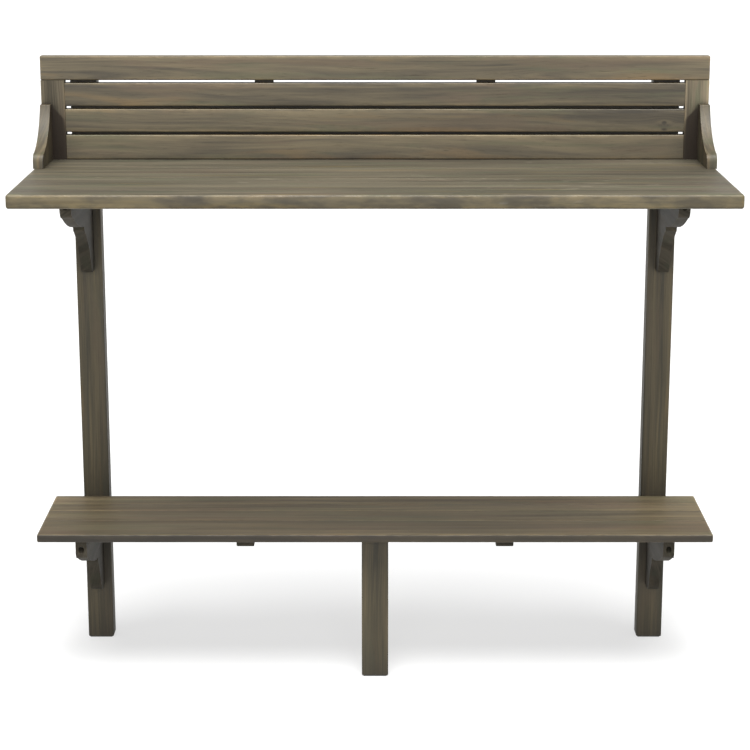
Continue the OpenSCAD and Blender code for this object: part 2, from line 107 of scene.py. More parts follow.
def add_world():
    """A grey studio that is lit white along its foot, all the way round."""
    world = bpy.data.worlds.new("studio")
    bpy.context.scene.world = world
    world.use_nodes = True
    tree = world.node_tree
    background = tree.nodes["Background"]
    place = tree.nodes.new("ShaderNodeTexCoord")
    split = tree.nodes.new("ShaderNodeSeparateXYZ")
    height = tree.nodes.new("ShaderNodeMapRange")
    height.interpolation_type = "SMOOTHSTEP"
    height.inputs["From Min"].default_value = FOOT_TOP
    height.inputs["From Max"].default_value = WALL_FOOT
    height.inputs["To Min"].default_value = FOOT_GLOW
    height.inputs["To Max"].default_value = WALL_GLOW
    tree.links.new(place.outputs["Generated"], split.inputs["Vector"])
    tree.links.new(split.outputs["Z"], height.inputs["Value"])
    tree.links.new(height.outputs["Result"], background.inputs["Strength"])
    background.inputs["Color"].default_value = (*PAPER_WHITE, 1.0)


def add_floor():
    """A wide sheet of plain pale paper."""
    signs = ((-1, -1), (1, -1), (1, 1), (-1, 1))
    corners = [(x * FLOOR_HALF, y * FLOOR_HALF, 0.0) for x, y in signs]
    mesh = bpy.data.meshes.new("floor")
    mesh.from_pydata(corners, [], [(0, 1, 2, 3)])
    material = bpy.data.materials.new("floor_paper")
    material.use_nodes = True
    shader = material.node_tree.nodes["Principled BSDF"]
    shader.inputs["Base Color"].default_value = PAPER_GREY
    shader.inputs["Roughness"].default_value = 0.9
    shader.inputs["Specular IOR Level"].default_value = 0.1
    shader.inputs["Emission Color"].default_value = (*PAPER_WHITE, 1.0)
    shader.inputs["Emission Strength"].default_value = FLOOR_GLOW
    mesh.materials.append(material)
    floor = bpy.data.objects.new("floor", mesh)
    bpy.context.scene.collection.objects.link(floor)


add_camera()
add_world()
for light_name, turn in (("left_key", -20.0), ("right_key", 20.0)):
    add_overhead_light(light_name, elevation=68.0, turn=turn, spread=34.0, strength=3.1)
add_softbox("front_softbox", place=(0.0, -4.2, 1.7), aim=(0.0, 0.0, 0.6), size=(3.0, 1.4), power=95.0)
add_floor()
bpy.context.scene.view_settings.view_transform = "Standard"


# ---------------------------------------------------------------- materials


class Graph:
    """The node tree of one material, with short ways to add and join nodes."""

    def __init__(self, name):
        self.material = bpy.data.materials.new(name)
        self.material.use_nodes = True
        self.tree = self.material.node_tree
        self.shader = self.tree.nodes["Principled BSDF"]

    def put(self, socket, value):
        if isinstance(value, bpy.types.NodeSocket):
            self.tree.links.new(value, socket)
        else:
            socket.default_value = value

    def add(self, kind, inputs=None, **settings):
        node = self.tree.nodes.new("ShaderNode" + kind)
        for key, value in settings.items():
            setattr(node, key, value)
        for key, value in (inputs or {}).items():
            self.put(node.inputs[key], value)
        return node

    def maths(self, operation, *values, clamp=False):
        node = self.add("Math", operation=operation, use_clamp=clamp)
        for socket, value in zip(node.inputs, values):
            self.put(socket, value)
        return node.outputs["Value"]

    def vector(self, operation, *values):
        node = self.add("VectorMath", operation=operation)
        for socket, value in zip(node.inputs, values):
            self.put(socket, value)
        return node.outputs["Vector"]

    def scaled(self, vector, scale):
        return self.vector("MULTIPLY", vector, scale)

    def noise(self, vector, detail=3.0, roughness=0.55, distortion=0.0):
        inputs = {"Vector": vector, "Scale": 1.0, "Detail": detail, "Roughness": roughness}
        return self.add("TexNoise", {**inputs, "Distortion": distortion})

    def ramp(self, value, low, high, to_low=0.0, to_high=1.0):
        inputs = {"Value": value, "From Min": low, "From Max": high, "To Min": to_low, "To Max": to_high}
        return self.add("MapRange", inputs, interpolation_type="SMOOTHSTEP").outputs["Result"]

    def mix(self, share, first, second, blend="MIX"):
        node = self.add("Mix", data_type="RGBA", blend_type=blend)
        self.put(node.inputs["Factor"], share)
        self.put(node.inputs[6], first)
        self.put(node.inputs[7], second)
        return node.outputs[2]

    def multiply(self, first, second):
        return self.mix(1.0, first, second, "MULTIPLY")

    def grey(self, value):
        """A grey colour of that value."""
        inputs = {"Red": value, "Green": value, "Blue": value}
        return self.add("CombineColor", inputs).outputs["Color"]

    def bump(self, height, distance, strength, normal=None):
        node = self.add("Bump", {"Height": height, "Distance": distance, "Strength": strength})
        if normal is not None:
            self.put(node.inputs["Normal"], normal)
        return node.outputs["Normal"]


def rgb(red, green, blue):
    return (red, green, blue, 1.0)


# Each kind of timber: linear colours of its grey-brown stain, its mean roughness and its specular level
LOOKS = {
    "tabletop": {
        "dark": rgb(0.036, 0.031, 0.021),
        "light": rgb(0.117, 0.102, 0.068),
        "green": rgb(0.065, 0.068, 0.041),
        "rosy": rgb(0.093, 0.070, 0.048),
        "ochre": rgb(0.130, 0.095, 0.033),
        "scuff": rgb(0.186, 0.163, 0.120),
        "rough": 0.50,
        "gloss": 0.38,
    },
    "panel": {
        "dark": rgb(0.032, 0.026, 0.016),
        "light": rgb(0.105, 0.084, 0.048),
        "green": rgb(0.058, 0.057, 0.030),
        "rosy": rgb(0.084, 0.058, 0.035),
        "ochre": rgb(0.122, 0.078, 0.032),
        "rough": 0.55,
        "gloss": 0.38,
    },
    "stile": {
        "dark": rgb(0.034, 0.029, 0.020),
        "light": rgb(0.110, 0.092, 0.062),
        "green": rgb(0.061, 0.061, 0.038),
        "rosy": rgb(0.088, 0.065, 0.045),
        "ochre": rgb(0.126, 0.088, 0.048),
        "rough": 0.55,
        "gloss": 0.14,
    },
    # Lighter than the tabletop's look: partly painted light against the shade that the tabletop casts on the
    # shelf
    "shelf": {
        "dark": rgb(0.058, 0.045, 0.026),
        "light": rgb(0.151, 0.119, 0.068),
        "green": rgb(0.090, 0.083, 0.045),
        "rosy": rgb(0.128, 0.085, 0.051),
        "ochre": rgb(0.166, 0.112, 0.051),
        "rough": 0.55,
        "gloss": 0.38,
    },
    "frame": {
        "dark": rgb(0.022, 0.018, 0.008),
        "light": rgb(0.079, 0.061, 0.030),
        "green": rgb(0.041, 0.036, 0.019),
        "rosy": rgb(0.059, 0.042, 0.022),
        "ochre": rgb(0.084, 0.058, 0.024),
        "rough": 0.60,
        "gloss": 0.38,
    },
    # Painted shade: a darker copy of the frame's look, for the corbels and shelf cleats that sit in shade
    # under the tabletop and shelf
    "corbel": {
        "dark": rgb(0.018, 0.015, 0.010),
        "light": rgb(0.045, 0.039, 0.028),
        "green": rgb(0.026, 0.026, 0.017),
        "rosy": rgb(0.038, 0.031, 0.022),
        "ochre": rgb(0.048, 0.038, 0.024),
        "rough": 0.60,
        "gloss": 0.10,
    },
    "dowel": {
        "dark": rgb(0.240, 0.160, 0.088),
        "light": rgb(0.400, 0.288, 0.168),
        "green": rgb(0.304, 0.240, 0.144),
        "rosy": rgb(0.352, 0.232, 0.144),
        "ochre": rgb(0.416, 0.288, 0.144),
        "rough": 0.62,
        "gloss": 0.38,
    },
}

PORE_COLOUR = rgb(0.022, 0.019, 0.014)
KNOT_COLOUR = rgb(0.020, 0.015, 0.010)
# What a rubbed edge's colour is multiplied by
RUBBED_GAIN = rgb(1.45, 1.38, 1.22)

# How fast each pattern changes along, across and through the grain, per metre
SCALES = {
    "wander": (1.3, 7.0, 7.0),
    "patches": (3.4, 34.0, 34.0),
    "depth": (1.3, 11.0, 11.0),
    "bands": (1.5, 62.0, 6.0),
    "streaks": (4.0, 330.0, 24.0),
    "fibres": (26.0, 1900.0, 600.0),
    "warmth": (3.2, 75.0, 14.0),
    "scuffs": (24.0, 75.0, 75.0),
    "scuffed_places": (2.1, 5.0, 5.0),
    "rubbing": (38.0, 90.0, 90.0),
    "mottling": (15.0, 45.0, 45.0),
    "relief": (9.0, 40.0, 40.0),
}

# Painted shade in corners, from ambient occlusion: how far from a corner the colour darkens, and how dark it
# gets there. The one under the top paints the shade there on the posts and table corbels
NOOK = (60.0 * MM, 0.45)
BRACKET_NOOK = (40.0 * MM, 0.55)
STILE_NOOK = (130.0 * MM, 0.10)
UNDER_TOP_NOOK = (150.0 * MM, 0.35)

# Painted shade low on the posts and leg: the wood darkens to this share up to the lower height, and fades
# out at the upper one
LOW_SHADE = 0.84
LOW_SHADE_HEIGHTS = (0.20, 0.36)

# Painted shadow of each side bracket on the stile beside it: its colour and strength, how wide its full
# part gets, and how far it takes to fade out beyond that, near the bracket's top and lower down
BRACKET_LOW, BRACKET_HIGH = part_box("side_bracket_right")
BRACKET_SHADOW_COLOUR = rgb(0.016, 0.011, 0.007)
BRACKET_SHADOW_STRENGTH = 0.92
BRACKET_SHADOW_WIDTH = 18.0 * MM
BRACKET_SHADOW_FADES = (5.0 * MM, 30.0 * MM)

# Order in which a CAD piece's X, Y and Z become along, across and through its grain
GRAIN_ORDER = {"X": ("X", "Y", "Z"), "Y": ("Y", "X", "Z"), "Z": ("Z", "X", "Y")}


def grain_coordinates(graph, axis):
    """Along, across and through the grain, in metres: read off the mesh, or turned from the frame's axes."""
    if axis is None:
        return graph.add("Attribute", attribute_name="grain").outputs["Vector"]
    place = graph.add("TexCoord").outputs["Object"]
    split = graph.add("SeparateXYZ", {"Vector": place})
    joined = graph.add("CombineXYZ")
    for target, letter in zip(("X", "Y", "Z"), GRAIN_ORDER[axis]):
        graph.put(joined.inputs[target], split.outputs[letter])
    return joined.outputs["Vector"]


def bracket_shadow(graph):
    """Share of the side bracket's painted shadow: 0 on open wood, and up to 1 on the front of a stile beside
    its bracket, growing wider downwards.
    """
    coordinates = graph.add("TexCoord")
    place = graph.add("SeparateXYZ", {"Vector": coordinates.outputs["Object"]})
    facing = graph.add("SeparateXYZ", {"Vector": coordinates.outputs["Normal"]}).outputs["Y"]
    away = graph.maths("SUBTRACT", BRACKET_LOW.x, graph.maths("ABSOLUTE", place.outputs["X"]))
    below = graph.maths("SUBTRACT", BRACKET_HIGH.z, place.outputs["Z"])
    full = graph.ramp(below, 0.0, 30.0 * MM, 0.0, BRACKET_SHADOW_WIDTH)
    fade = graph.ramp(below, 10.0 * MM, 100.0 * MM, *BRACKET_SHADOW_FADES)
    beyond = graph.maths("DIVIDE", graph.maths("SUBTRACT", away, full), fade)
    share = graph.ramp(beyond, 0.0, 1.0, 1.0, 0.0)
    for within in (
        graph.ramp(below, -3.0 * MM, 12.0 * MM),
        graph.ramp(away, -2.0 * MM, 0.0),
        graph.ramp(facing, -0.6, -0.3, 1.0, 0.0),
    ):
        share = graph.maths("MULTIPLY", share, within)
    return share


def edge_share(graph, axis):
    """1 on the eased edges and 0 on the faces: read off the mesh, or found from how the shape turns."""
    if axis is None:
        return graph.add("Attribute", attribute_name="edge").outputs["Fac"]
    rounded = graph.add("Bevel", {"Radius": 1.6 * MM}, samples=4).outputs["Normal"]
    straight = graph.add("NewGeometry").outputs["Normal"]
    dot = graph.add("VectorMath", {0: rounded, 1: straight}, operation="DOT_PRODUCT").outputs["Value"]
    return graph.ramp(dot, 0.995, 0.86)


def wood(name, look, axis=None, knots=(), scuffs=0.0, nook=NOOK, shaded_low=False, bracket=False):
    """Stained, open-grained hardwood.

    Axis is the frame's axis along the grain of a CAD piece, and None for a piece that carries its grain.
    Knots are (along, across, through, radius) in grain coordinates. Scuffs is the strength of pale
    rubbed marks. Nook is how far from a corner painted shade darkens the colour, and how dark it gets
    there. Painted shade darkens the lowest part of a piece when that is asked for. Bracket paints the
    side bracket's shadow on a stile's front beside it.
    """
    colours = LOOKS[look]
    graph = Graph(name)
    grain = grain_coordinates(graph, axis)

    def pattern(place, scale, **settings):
        return graph.noise(graph.scaled(place, SCALES[scale]), **settings).outputs

    # Slow wander of the fibres, then the distance from the pith, which gives long streaks on the
    # faces and arcs on the ends
    wander = pattern(grain, "wander", detail=2.0)["Color"]
    wander = graph.vector("SUBTRACT", wander, (0.5, 0.5, 0.5))
    bent = graph.vector("ADD", grain, graph.scaled(wander, (0.0, 0.030, 0.030)))
    for along, across, through, radius in knots:
        centre = (along, across, through)
        away = graph.scaled(graph.vector("SUBTRACT", grain, centre), (0.45, 1.0, 1.0))
        reach = graph.add("VectorMath", {0: away}, operation="LENGTH").outputs["Value"]
        push = graph.ramp(reach, 0.0, 5.0 * radius, 1.0, 0.0)
        outward = graph.add("VectorMath", {0: away}, operation="NORMALIZE").outputs["Vector"]
        shift = graph.add("VectorMath", {0: outward, "Scale": push}, operation="SCALE").outputs["Vector"]
        bent = graph.vector("SUBTRACT", bent, graph.scaled(shift, (0.0, 1.6 * radius, 1.6 * radius)))
    split = graph.add("SeparateXYZ", {"Vector": bent})
    pith = graph.add("CombineXYZ", {"Y": split.outputs["Y"], "Z": split.outputs["Z"]}).outputs["Vector"]
    ring = graph.add("VectorMath", {0: pith}, operation="LENGTH").outputs["Value"]
    ringed = {"X": split.outputs["X"], "Y": ring, "Z": split.outputs["Z"]}
    rings = graph.add("CombineXYZ", ringed).outputs["Vector"]

    patches = pattern(grain, "patches", detail=4.0, roughness=0.6, distortion=0.4)["Color"]
    depth = pattern(grain, "depth", distortion=0.3)["Fac"]
    bands = pattern(rings, "bands", detail=4.0, roughness=0.6)["Fac"]
    streaks = pattern(rings, "streaks", roughness=0.6)["Fac"]
    fibres = pattern(rings, "fibres", detail=2.0, roughness=0.6)["Fac"]
    warm = pattern(rings, "warmth", distortion=0.4)["Color"]
    tint = graph.add("SeparateColor", {"Color": patches})
    warmth = graph.add("SeparateColor", {"Color": warm})

    tone = graph.maths("MULTIPLY_ADD", bands, 0.55, graph.maths("MULTIPLY", streaks, 0.45))
    colour = graph.mix(graph.ramp(tone, 0.34, 0.66), colours["dark"], colours["light"])
    colour = graph.mix(graph.ramp(tint.outputs["Red"], 0.50, 0.64, 0.0, 0.60), colour, colours["green"])
    colour = graph.mix(graph.ramp(tint.outputs["Green"], 0.52, 0.66, 0.0, 0.50), colour, colours["rosy"])
    golden = graph.ramp(warmth.outputs["Red"], 0.57, 0.70, 0.0, 0.42)
    if axis is None:
        warmed = graph.add("Attribute", attribute_name="warmth").outputs["Fac"]
        golden = graph.maths("ADD", golden, graph.maths("MULTIPLY", warmed, bands), clamp=True)
    colour = graph.mix(golden, colour, colours["ochre"])
    colour = graph.multiply(colour, graph.grey(graph.ramp(depth, 0.32, 0.68, 0.84, 1.16)))
    pores = graph.ramp(fibres, 0.60, 0.72)
    colour = graph.mix(graph.maths("MULTIPLY", pores, 0.42), colour, PORE_COLOUR)
    fleck = graph.ramp(fibres, 0.30, 0.40, 1.0, 0.0)
    colour = graph.mix(graph.maths("MULTIPLY", fleck, 0.16), colour, colours["light"])
    if scuffs:
        marks = pattern(grain, "scuffs", detail=2.0, distortion=0.6)["Fac"]
        places = pattern(grain, "scuffed_places", detail=1.0)["Fac"]
        scuffed = graph.ramp(places, 0.50, 0.60, 0.0, scuffs)
        share = graph.maths("MULTIPLY", graph.ramp(marks, 0.62, 0.72), scuffed)
        colour = graph.mix(share, colour, colours["scuff"])

    for along, across, through, radius in knots:
        centre = (along, across, through)
        away = graph.scaled(graph.vector("SUBTRACT", bent, centre), (0.7, 1.0, 1.0))
        reach = graph.add("VectorMath", {0: away}, operation="LENGTH").outputs["Value"]
        inside = graph.ramp(reach, 0.35 * radius, 1.15 * radius, 0.85, 0.0)
        colour = graph.mix(inside, colour, KNOT_COLOUR)

    # The stain is rubbed thin along the eased edges, in patches
    edge = edge_share(graph, axis)
    rubbed = pattern(grain, "rubbing", roughness=0.65)["Fac"]
    worn = graph.maths("MULTIPLY", edge, graph.ramp(rubbed, 0.38, 0.62, 0.25, 0.95))
    colour = graph.mix(worn, colour, graph.multiply(colour, RUBBED_GAIN))
    if axis is None:
        # Each board has its own tone, which also holds painted light and shade: lighter rear shelf boards
        # and right stile, darker front edges and undersides. The front edge of a top is mottled as well
        shade = graph.add("Attribute", attribute_name="tone").outputs["Fac"]
        colour = graph.multiply(colour, graph.grey(shade))
        mottling = pattern(grain, "mottling", detail=4.0, roughness=0.6)["Fac"]
        mottled = graph.multiply(colour, graph.grey(graph.ramp(mottling, 0.34, 0.64, 0.62, 1.40)))
        colour = graph.mix(warmed, colour, mottled)
    # Painted shade: ambient occlusion darkens the colour in corners and under other parts
    reach, darkest = nook
    open_share = graph.add("AmbientOcclusion", {"Distance": reach}, samples=4).outputs["AO"]
    colour = graph.multiply(colour, graph.grey(graph.ramp(open_share, 0.35, 0.88, darkest, 1.0)))
    # Painted shadow of the side bracket on the stile's front beside it
    if bracket:
        shadowed = graph.maths("MULTIPLY", bracket_shadow(graph), BRACKET_SHADOW_STRENGTH)
        colour = graph.mix(shadowed, colour, BRACKET_SHADOW_COLOUR)
    # Painted shade, darker towards the bottom
    if shaded_low:
        place = graph.add("TexCoord").outputs["Object"]
        height = graph.add("SeparateXYZ", {"Vector": place}).outputs["Z"]
        low_shade = graph.ramp(height, *LOW_SHADE_HEIGHTS, LOW_SHADE, 1.0)
        colour = graph.multiply(colour, graph.grey(low_shade))
    graph.put(graph.shader.inputs["Base Color"], colour)

    # The streaks move the roughness up and down around its mean, pores are duller and rubbed edges smoother
    spread = 0.22
    sheen = graph.maths("MULTIPLY_ADD", streaks, spread, colours["rough"] - spread / 2)
    sheen = graph.maths("MULTIPLY_ADD", pores, 0.18, sheen)
    sheen = graph.maths("MULTIPLY_ADD", worn, -0.10, sheen, clamp=True)
    graph.put(graph.shader.inputs["Roughness"], sheen)
    graph.shader.inputs["Specular IOR Level"].default_value = colours["gloss"]

    sunk = graph.maths("MULTIPLY", pores, 0.6)
    relief = graph.maths("SUBTRACT", graph.maths("MULTIPLY", streaks, 0.7), sunk)
    fine = graph.bump(relief, 0.16 * MM, 0.75)
    broad = pattern(grain, "relief", detail=2.0)["Fac"]
    graph.put(graph.shader.inputs["Normal"], graph.bump(broad, 0.5 * MM, 0.5, fine))
    return graph.material


def zinc(name):
    """Zinc-plated steel with fine turning marks and dull patches."""
    graph = Graph(name)
    place = graph.add("TexCoord").outputs["Object"]
    patches = graph.noise(graph.scaled(place, (130.0,) * 3), detail=4.0).outputs["Fac"]
    marks = graph.noise(graph.scaled(place, (2600.0,) * 3), detail=2.0).outputs["Fac"]
    dull, bright = rgb(0.13, 0.125, 0.115), rgb(0.27, 0.265, 0.25)
    colour = graph.mix(graph.ramp(patches, 0.35, 0.65), dull, bright)
    graph.put(graph.shader.inputs["Base Color"], colour)
    graph.shader.inputs["Metallic"].default_value = 1.0
    rough = graph.maths("MULTIPLY_ADD", patches, 0.30, 0.28, clamp=True)
    graph.put(graph.shader.inputs["Roughness"], rough)
    graph.put(graph.shader.inputs["Normal"], graph.bump(marks, 0.03 * MM, 0.5))
    return graph.material


# ---------------------------------------------------------------- straight boards

# Steps round each eased edge, and the gaps between points along a board and across its faces
ARC_STEPS = 5
STATION_GAP = 16.0 * MM
FLAT_GAP = 12.0 * MM
# How deep the faces are sanded in places, and how fast that changes along and across a board, per metre
WAVE = 0.25 * MM
WAVE_PACE, WAVE_PACE_ACROSS = 4.0, 11.0
# The least and greatest share of its radius that an edge has, and how fast that changes, per metre
EDGE_LEAST, EDGE_MOST = 0.86, 1.14
EDGE_PACE = 9.0
# Steps through the noise from one edge to the next and from one board to the next
EDGE_STEP, BOARD_STEP = 7.3, 3.1
# At a rounded end an edge's radius loses this share of the inset, but keeps at least this share of itself
END_SHRINK, END_LEAST = 0.8, 0.3
# How far in the end face's rim reaches, as a share of the way to its middle
END_RIM = 0.08
# Width of the darker strip beside a seam, and the tone of it on a tight seam and on the most open one
SEAM_REACH = 1.2 * MM
TIGHT_SHADE, OPEN_SHADE = 0.90, 0.65
# Turn at which an edge counts as fully eased, and the one above which shading breaks, in degrees
EASED_TURN = 14.0
SHARP_TURN = 50.0
# Painted shade: share of its tone that a board's underside loses
UNDER_LOSS = 0.3
# Tone of a board's front edge against the rest of the board, a painted shade as for light from above, and
# how much ochre and mottling it has
PLAIN = (1.0, 0.0)
TOP_FRONT = (0.49, 1.0)
SHELF_FRONT = (0.20, 0.2)
# Drilled holes: height above the mouth and radius there, in millimetres, and the number of sides
DRILL_PROFILE = ((-1.0, 4.6), (0.2, 4.5), (3.2, 2.3), (21.0, 2.3))
DRILL_SIDES = 28


def smooth_noise(*place):
    """A smooth value from 0 to 1."""
    return min(1.0, max(0.0, 0.5 + 0.5 * noise.noise(Vector(place))))


def outline(width, depth, radii, counts):
    """Points of a rounded rectangle and their outward directions. Radii start at the lower front corner.

    Counts is how many steps the flat of each side is cut into: lower and upper, then front and rear.
    """
    corners = [
        (radii[0], radii[0], 180.0),
        (width - radii[1], radii[1], 270.0),
        (width - radii[2], depth - radii[2], 0.0),
        (radii[3], depth - radii[3], 90.0),
    ]
    points = []
    for n, (x, y, start) in enumerate(corners):
        radius = radii[n]
        for step in range(ARC_STEPS + 1):
            turn = math.radians(start + 90.0 * step / ARC_STEPS)
            facing = (math.cos(turn), math.sin(turn))
            points.append((x + radius * facing[0], y + radius * facing[1], *facing))
        last, following = points[-1], corners[(n + 1) % 4]
        turn = math.radians(following[2])
        reach = radii[(n + 1) % 4]
        target = (following[0] + reach * math.cos(turn), following[1] + reach * math.sin(turn))
        for step in range(1, counts[n % 2]):
            share = 0.5 - 0.5 * math.cos(math.pi * (step / counts[n % 2]))
            spot = [begin + (end - begin) * share for begin, end in zip(last, target)]
            points.append((*spot, last[2], last[3]))
    return points


def stations(length, radius):
    """Places along a board and how far its outline is drawn in there, for rounded ends."""
    end = []
    for step in range(ARC_STEPS + 1):
        turn = math.radians(90.0 * step / ARC_STEPS)
        end.append((radius * (1.0 - math.cos(turn)), radius * (1.0 - math.sin(turn))))
    count = max(2, round((length - 4.0 * radius) / STATION_GAP))
    middle = [(2.0 * radius + (length - 4.0 * radius) * n / count, 0.0) for n in range(count + 1)]
    far = [(length - place, inset) for place, inset in reversed(end)]
    return end + middle + far


def board(name, low, high, radii, end_radius, seed, along="X", tone=1.0, front=PLAIN):
    """A board along X or Z with eased edges that vary a little along it, as hand sanding leaves them."""
    low, high = Vector(low), Vector(high)
    size = high - low
    if along == "X":
        length, width, depth = size.x, size.y, size.z
        turn = Matrix(((1, 0, 0), (0, 1, 0), (0, 0, 1)))
    else:
        length, width, depth = size.z, size.x, size.y
        turn = Matrix(((0, 1, 0), (0, 0, 1), (1, 0, 0)))
    counts = [max(2, round(width / FLAT_GAP)), max(2, round(depth / FLAT_GAP))]
    bm = bmesh.new()
    rings = []
    for place, inset in stations(length, end_radius):
        eased = []
        for n, radius in enumerate(radii):
            share = smooth_noise(place * EDGE_PACE, EDGE_STEP * n, seed)
            varied = radius * (EDGE_LEAST + (EDGE_MOST - EDGE_LEAST) * share)
            eased.append(max(varied - END_SHRINK * inset, END_LEAST * radius))
        ring = []
        for x, y, facing_x, facing_y in outline(width - 2.0 * inset, depth - 2.0 * inset, eased, counts):
            x += inset
            y += inset
            across = x * WAVE_PACE_ACROSS + BOARD_STEP * seed
            wave = WAVE * smooth_noise(place * WAVE_PACE, across, y * WAVE_PACE_ACROSS)
            local = Vector((place, x - wave * facing_x, y - wave * facing_y))
            ring.append(bm.verts.new(low + turn @ local))
        rings.append(ring)
    count = len(rings[0])
    for first, second in zip(rings, rings[1:]):
        for n in range(count):
            m = (n + 1) % count
            bm.faces.new((first[n], first[m], second[m], second[n]))
    for ring, flip in ((rings[0], True), (rings[-1], False)):
        centre = sum((v.co for v in ring), Vector()) / count
        inner = [bm.verts.new(v.co.lerp(centre, END_RIM)) for v in ring]
        for n in range(count):
            m = (n + 1) % count
            corner = (ring[n], inner[n], inner[m], ring[m])
            bm.faces.new(corner if flip else corner[::-1])
        bm.faces.new(inner[::-1] if flip else inner)
    bmesh.ops.recalc_face_normals(bm, faces=bm.faces)
    mesh = bpy.data.meshes.new(name)
    bm.to_mesh(mesh)
    bm.free()
    piece = bpy.data.objects.new(name, mesh)
    bpy.context.scene.collection.objects.link(piece)
    piece["along"] = along
    piece["seed"] = seed
    piece["tone"] = tone
    piece["front"] = front
    piece["seams"] = radii[:2] if along == "X" and depth < width else (0.0, 0.0)
    return piece


def drill(piece, mouths):
    """Cuts countersunk holes up into a piece from the (x, y, z) of their mouths."""
    for mouth in mouths:
        bm = bmesh.new()
        rings = []
        for height, radius in DRILL_PROFILE:
            ring = []
            for n in range(DRILL_SIDES):
                turn = 2.0 * math.pi * n / DRILL_SIDES
                spot = Vector((radius * math.cos(turn), radius * math.sin(turn), height)) * MM
                ring.append(bm.verts.new(Vector(mouth) + spot))
            rings.append(ring)
        for first, second in zip(rings, rings[1:]):
            for n in range(DRILL_SIDES):
                m = (n + 1) % DRILL_SIDES
                bm.faces.new((first[n], first[m], second[m], second[n]))
        bm.faces.new(rings[0][::-1])
        bm.faces.new(rings[-1])
        mesh = bpy.data.meshes.new("drill")
        bm.to_mesh(mesh)
        bm.free()
        cutter = bpy.data.objects.new("drill", mesh)
        bpy.context.scene.collection.objects.link(cutter)
        cut = piece.modifiers.new("hole", "BOOLEAN")
        cut.operation = "DIFFERENCE"
        cut.solver = "EXACT"
        cut.object = cutter
        bpy.context.view_layer.update()
        evaluated = piece.evaluated_get(bpy.context.evaluated_depsgraph_get())
        result = bpy.data.meshes.new_from_object(evaluated)
        piece.modifiers.clear()
        piece.data = result
        bpy.data.objects.remove(cutter)


def grain_shift(seed):
    """Where the middle of a board lies in its tree, so that no two boards share their grain."""
    return Vector((5.3 * seed, 0.22 * math.sin(2.4 * seed), 0.06 + 0.05 * math.sin(1.7 * seed)))


def rising(values, low, high):
    """0 up to low and 1 from high, with a straight rise between."""
    return np.clip((values - low) / (high - low), 0.0, 1.0)


def write_attribute(mesh, name, kind, key, values):
    """Writes one value or vector per vertex, under the name by which the wood material reads it."""
    mesh.attributes.new(name, kind, "POINT").data.foreach_set(key, values.astype("f").ravel())


def finish_wood(piece, material, node):
    """Writes what the wood material reads off a new piece, and stands it in for its CAD node."""
    mesh = piece.data
    low = Vector(map(min, zip(*(v.co for v in mesh.vertices))))
    high = Vector(map(max, zip(*(v.co for v in mesh.vertices))))
    middle = (low + high) / 2
    order = [0, 1, 2] if piece["along"] == "X" else [2, 0, 1]
    places = np.array([v.co - middle for v in mesh.vertices])[:, order]
    places += np.array(grain_shift(piece["seed"]))
    bm = bmesh.new()
    bm.from_mesh(mesh)
    bm.verts.ensure_lookup_table()
    turned = [max([e.calc_face_angle(0.0) for e in v.link_edges], default=0.0) for v in bm.verts]
    bm.free()
    eased = rising(np.array(turned), 0.0, math.radians(EASED_TURN))
    write_attribute(mesh, "grain", "FLOAT_VECTOR", "vector", places)
    write_attribute(mesh, "edge", "FLOAT", "value", eased)
    normals = np.array([v.normal for v in mesh.vertices])
    sides = np.array([v.co.y for v in mesh.vertices])
    seam_shade = np.ones(len(sides))
    for radius, side in zip(piece["seams"], (low.y, high.y)):
        if 0.0 < radius < SEAM_REACH:
            beside = np.abs(sides - side) < SEAM_REACH
            seam_shade[beside] = TIGHT_SHADE - (TIGHT_SHADE - OPEN_SHADE) * radius / SEAM_REACH
    # Painted shade on front edges and undersides
    front = rising(-normals[:, 1], 0.45, 0.85)
    under = rising(-normals[:, 2], 0.25, 0.75)
    front_tone, front_warmth = piece["front"]
    front_shade = 1.0 + (front_tone - 1.0) * front
    tones = piece["tone"] * front_shade * (1.0 - UNDER_LOSS * under) * seam_shade
    write_attribute(mesh, "warmth", "FLOAT", "value", front_warmth * front)
    write_attribute(mesh, "tone", "FLOAT", "value", tones)
    for face in mesh.polygons:
        face.use_smooth = True
    mesh.set_sharp_from_angle(angle=math.radians(SHARP_TURN))
    mesh.materials.clear()
    mesh.materials.append(material)
    for key in ("along", "seed", "tone", "front", "seams"):
        del piece[key]
    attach(piece, BODY)
    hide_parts(node)


def knot_place(node, seed, shares, radius):
    """A knot in grain coordinates, on the front of a board along X, at shares of its length and height."""
    low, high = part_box(node)
    size = high - low
    place = Vector((low.x + size.x * shares[0], low.y, low.z + size.z * shares[1]))
    return (*(place - (low + high) / 2 + grain_shift(seed)), radius)


# Edge and end radii of the boards, in millimetres
FRONT_EDGE = 5.0
SHELF_EDGE = 3.2
GLUED_SEAM = 0.45
OPEN_SEAM = 1.1
REAR_EDGE = 2.0
TOP_END = 4.0
SHELF_END = 3.0

# The seed of the first board of each kind: the others count on from it
TOP_SEED = 1
SHELF_SEED = 11
PANEL_SEED = 21

# Edge radii (lower front, lower rear, upper rear, upper front), tone and front edge
TOP_BOARDS = {
    "top_board_front": ((FRONT_EDGE, GLUED_SEAM, GLUED_SEAM, FRONT_EDGE), 1.0, TOP_FRONT),
    "top_board_second": ((GLUED_SEAM,) * 4, 1.03, PLAIN),
    "top_board_third": ((GLUED_SEAM,) * 4, 1.0, PLAIN),
    "top_board_rear": ((GLUED_SEAM, REAR_EDGE, REAR_EDGE, GLUED_SEAM), 0.97, PLAIN),
}
